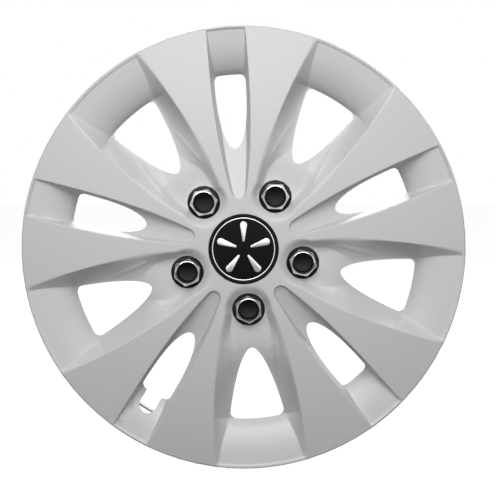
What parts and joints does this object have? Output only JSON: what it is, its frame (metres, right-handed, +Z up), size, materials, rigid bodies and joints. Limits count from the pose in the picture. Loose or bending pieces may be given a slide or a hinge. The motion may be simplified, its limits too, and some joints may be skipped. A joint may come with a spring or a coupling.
{
  "type": "wheel cover",
  "caption": "Round press-on wheel cover with tapered blades, windows, chrome lug caps, a centre cap, a valve notch, and hinged claws sprung by a wire ring.",
  "frame": {"origin": "centre of the plane of the rim seat, on the axle line", "axes": "+Y along the axle towards the vehicle, the outer face towards -Y, +Z up as on a standing wheel"},
  "size_m": [0.398, 0.0646, 0.398],
  "materials": {
    "face_paint": "silver grey paint on moulded plastic, satin gloss",
    "cup_black": "black moulded plastic",
    "hex_chrome": "bright plating",
    "cap_black": "black moulded plastic, gloss",
    "emblem_black": "black, gloss",
    "emblem_silver": "bright foil",
    "emblem_foam": "adhesive foam",
    "spring_wire": "drawn spring wire",
    "ring_wire": "drawn spring wire",
    "ferrule_steel": "crimped sleeve",
    "claw_plastic": "dark engineering plastic"
  },
  "bodies": {
    "cover": {"cover_face": "face_paint", "lug_cup_1": "cup_black", "lug_cup_2": "cup_black", "lug_cup_3": "cup_black", "lug_cup_4": "cup_black", "lug_cup_5": "cup_black", "lug_hex_1": "hex_chrome", "lug_hex_2": "hex_chrome", "lug_hex_3": "hex_chrome", "lug_hex_4": "hex_chrome", "lug_hex_5": "hex_chrome"},
    "claw_1": {"claw_1": "claw_plastic"},
    "claw_2": {"claw_2": "claw_plastic"},
    "claw_3": {"claw_3": "claw_plastic"},
    "claw_4": {"claw_4": "claw_plastic"},
    "claw_5": {"claw_5": "claw_plastic"},
    "claw_6": {"claw_6": "claw_plastic"},
    "claw_7": {"claw_7": "claw_plastic"},
    "claw_8": {"claw_8": "claw_plastic"},
    "claw_9": {"claw_9": "claw_plastic"},
    "claw_10": {"claw_10": "claw_plastic"},
    "ring": {"retention_ring": "ring_wire", "ring_ferrule": "ferrule_steel"},
    "cap": {"centre_cap": "cap_black", "emblem_plate": "emblem_black", "emblem_inlay": "emblem_silver", "emblem_adhesive": "emblem_foam", "cap_spring_ring": "spring_wire"}
  },
  "joints": [
    {"name": "claw_1_flex", "type": "hinge", "parent": "cover", "child": "claw_1", "pos_m": [0.06676, -0.0055, -0.1596], "axis": [0.9225, 0, 0.3859], "range_deg": [0, 5], "stiffness_Nm_per_rad": 1},
    {"name": "claw_2_flex", "type": "hinge", "parent": "cover", "child": "claw_2", "pos_m": [0.14782, -0.0055, -0.08988], "axis": [0.5195, 0, 0.8545], "range_deg": [0, 5], "stiffness_Nm_per_rad": 1},
    {"name": "claw_3_flex", "type": "hinge", "parent": "cover", "child": "claw_3", "pos_m": [0.17242, -0.0055, 0.01418], "axis": [-0.0819, 0, 0.9966], "range_deg": [0, 5], "stiffness_Nm_per_rad": 1},
    {"name": "claw_4_flex", "type": "hinge", "parent": "cover", "child": "claw_4", "pos_m": [0.13116, -0.0055, 0.11281], "axis": [-0.6521, 0, 0.7581], "range_deg": [0, 5], "stiffness_Nm_per_rad": 1},
    {"name": "claw_5_flex", "type": "hinge", "parent": "cover", "child": "claw_5", "pos_m": [0.0398, -0.0055, 0.16836], "axis": [-0.9732, 0, 0.23], "range_deg": [0, 5], "stiffness_Nm_per_rad": 1},
    {"name": "claw_6_flex", "type": "hinge", "parent": "cover", "child": "claw_6", "pos_m": [-0.06676, -0.0055, 0.1596], "axis": [-0.9225, 0, -0.3859], "range_deg": [0, 5], "stiffness_Nm_per_rad": 1},
    {"name": "claw_7_flex", "type": "hinge", "parent": "cover", "child": "claw_7", "pos_m": [-0.14782, -0.0055, 0.08988], "axis": [-0.5195, 0, -0.8545], "range_deg": [0, 5], "stiffness_Nm_per_rad": 1},
    {"name": "claw_8_flex", "type": "hinge", "parent": "cover", "child": "claw_8", "pos_m": [-0.17242, -0.0055, -0.01418], "axis": [0.0819, 0, -0.9966], "range_deg": [0, 5], "stiffness_Nm_per_rad": 1},
    {"name": "claw_9_flex", "type": "hinge", "parent": "cover", "child": "claw_9", "pos_m": [-0.13116, -0.0055, -0.11281], "axis": [0.6521, 0, -0.7581], "range_deg": [0, 5], "stiffness_Nm_per_rad": 1},
    {"name": "claw_10_flex", "type": "hinge", "parent": "cover", "child": "claw_10", "pos_m": [-0.0398, -0.0055, -0.16836], "axis": [0.9732, 0, -0.23], "range_deg": [0, 5], "stiffness_Nm_per_rad": 1},
    {"name": "ring_unclip", "type": "slide", "parent": "cover", "child": "ring", "axis": [0, 1, 0], "range_m": [0, 0.03]},
    {"name": "cap_pull", "type": "slide", "parent": "cover", "child": "cap", "axis": [0, -1, 0], "range_m": [0, 0.025]}
  ]
}
